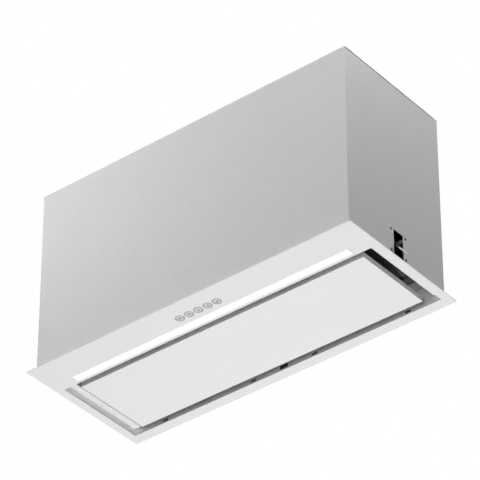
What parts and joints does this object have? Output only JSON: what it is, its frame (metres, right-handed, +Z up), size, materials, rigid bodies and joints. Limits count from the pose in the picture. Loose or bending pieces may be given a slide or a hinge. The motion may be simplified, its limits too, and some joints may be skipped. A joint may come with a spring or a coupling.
{
  "type": "built-in range hood",
  "caption": "Built-in range hood: box casing with a white trim, hinged perimeter suction panel, lamp strip, push buttons, grease filters, blower and a round outlet collar with non-return flaps.",
  "frame": {"origin": "centre of the visible underside of the trim", "axes": "+Z up, +X to the right, -Y to the front"},
  "size_m": [0.7, 0.293, 0.423],
  "materials": {
    "casing_steel": "satin zinc-coated sheet",
    "white_paint": "white powder coat",
    "inner_steel": "zinc-coated sheet",
    "fastener_steel": "bright zinc",
    "spring_steel": "spring strip",
    "dark_plastic": "moulded",
    "lamp_aluminium": "extruded",
    "opal": "opal, lit from behind",
    "board": "solder mask",
    "lamp_chip": "phosphor",
    "driver_plastic": "moulded",
    "switch_black": "moulded",
    "button_grey": "moulded",
    "filter_aluminium": "rolled",
    "filter_mesh": "expanded mesh",
    "scroll_plastic": "moulded",
    "motor_metal": "plain",
    "rubber": "moulded"
  },
  "bodies": {
    "hood": {"casing_wrap": "casing_steel", "casing_rear": "casing_steel", "casing_top": "casing_steel", "filter_rail": "casing_steel", "trim_frame": "white_paint", "recess_frame": "white_paint", "ledge_left": "white_paint", "ledge_right": "white_paint", "compartment_cover": "inner_steel", "hinge_bracket_left": "inner_steel", "hinge_bracket_right": "inner_steel", "motor_bracket": "inner_steel", "clip_pins": "fastener_steel", "casing_screws": "fastener_steel", "collar_screws": "fastener_steel", "motor_screws": "fastener_steel", "catch_magnet_left": "dark_plastic", "catch_magnet_right": "dark_plastic", "outlet_collar": "dark_plastic", "cable_gland": "dark_plastic", "lamp_profile": "lamp_aluminium", "lamp_diffuser": "opal", "lamp_board": "board", "switch_board": "board", "control_board": "board", "lamp_chips": "lamp_chip", "lamp_driver": "driver_plastic", "control_box": "driver_plastic", "control_lid": "driver_plastic", "switch_housing": "driver_plastic", "switches": "switch_black", "filter_frame_left": "filter_aluminium", "filter_frame_right": "filter_aluminium", "filter_mesh_left": "filter_mesh", "filter_mesh_right": "filter_mesh", "scroll_left": "scroll_plastic", "scroll_right": "scroll_plastic", "outlet_adapter": "scroll_plastic", "motor": "motor_metal", "capacitor": "motor_metal", "motor_grommets": "rubber"},
    "panel": {"panel_skin": "white_paint", "panel_back": "inner_steel", "hinge_arm_left": "inner_steel", "hinge_arm_right": "inner_steel", "hinge_pins": "fastener_steel"},
    "wheel": {"blower_wheel": "scroll_plastic", "motor_shaft": "fastener_steel"},
    "front_flap": {"flap_front": "dark_plastic"},
    "rear_flap": {"flap_rear": "dark_plastic"},
    "left_clip": {"clip_left": "spring_steel"},
    "right_clip": {"clip_right": "spring_steel"},
    "left_latch": {"filter_latch_left": "button_grey"},
    "right_latch": {"filter_latch_right": "button_grey"},
    "push_button_1": {"button_1": "button_grey"},
    "push_button_2": {"button_2": "button_grey"},
    "push_button_3": {"button_3": "button_grey"},
    "push_button_4": {"button_4": "button_grey"},
    "push_button_5": {"button_5": "button_grey"}
  },
  "joints": [
    {"name": "panel_hinge", "type": "hinge", "parent": "hood", "child": "panel", "pos_m": [0, 0.1, 0.02], "axis": [1, 0, 0], "range_deg": [0, 90]},
    {"name": "wheel_spin", "type": "hinge", "parent": "hood", "child": "wheel", "pos_m": [0, -0.032, 0.1983], "axis": [1, 0, 0], "continuous": true},
    {"name": "front_flap_hinge", "type": "hinge", "parent": "hood", "child": "front_flap", "pos_m": [0, 0.029, 0.39], "axis": [-1, 0, 0], "range_deg": [0, 80]},
    {"name": "rear_flap_hinge", "type": "hinge", "parent": "hood", "child": "rear_flap", "pos_m": [0, 0.039, 0.39], "axis": [1, 0, 0], "range_deg": [0, 80]},
    {"name": "left_clip_pivot", "type": "hinge", "parent": "hood", "child": "left_clip", "pos_m": [-0.324, 0.002, 0.056], "axis": [0, -1, 0], "range_deg": [0, 20], "stiffness_Nm_per_rad": 1.2, "springref_deg": -8.59},
    {"name": "right_clip_pivot", "type": "hinge", "parent": "hood", "child": "right_clip", "pos_m": [0.324, 0.002, 0.056], "axis": [0, 1, 0], "range_deg": [0, 20], "stiffness_Nm_per_rad": 1.2, "springref_deg": -8.59},
    {"name": "left_latch_slide", "type": "slide", "parent": "hood", "child": "left_latch", "axis": [0, 1, 0], "range_m": [0, 0.008], "stiffness_N_per_m": 500, "springref_m": -0.004},
    {"name": "right_latch_slide", "type": "slide", "parent": "hood", "child": "right_latch", "axis": [0, 1, 0], "range_m": [0, 0.008], "stiffness_N_per_m": 500, "springref_m": -0.004},
    {"name": "button_1_press", "type": "slide", "parent": "hood", "child": "push_button_1", "axis": [0, 0, 1], "range_m": [0, 0.0015], "stiffness_N_per_m": 900, "springref_m": -0.0008},
    {"name": "button_2_press", "type": "slide", "parent": "hood", "child": "push_button_2", "axis": [0, 0, 1], "range_m": [0, 0.0015], "stiffness_N_per_m": 900, "springref_m": -0.0008},
    {"name": "button_3_press", "type": "slide", "parent": "hood", "child": "push_button_3", "axis": [0, 0, 1], "range_m": [0, 0.0015], "stiffness_N_per_m": 900, "springref_m": -0.0008},
    {"name": "button_4_press", "type": "slide", "parent": "hood", "child": "push_button_4", "axis": [0, 0, 1], "range_m": [0, 0.0015], "stiffness_N_per_m": 900, "springref_m": -0.0008},
    {"name": "button_5_press", "type": "slide", "parent": "hood", "child": "push_button_5", "axis": [0, 0, 1], "range_m": [0, 0.0015], "stiffness_N_per_m": 900, "springref_m": -0.0008}
  ]
}
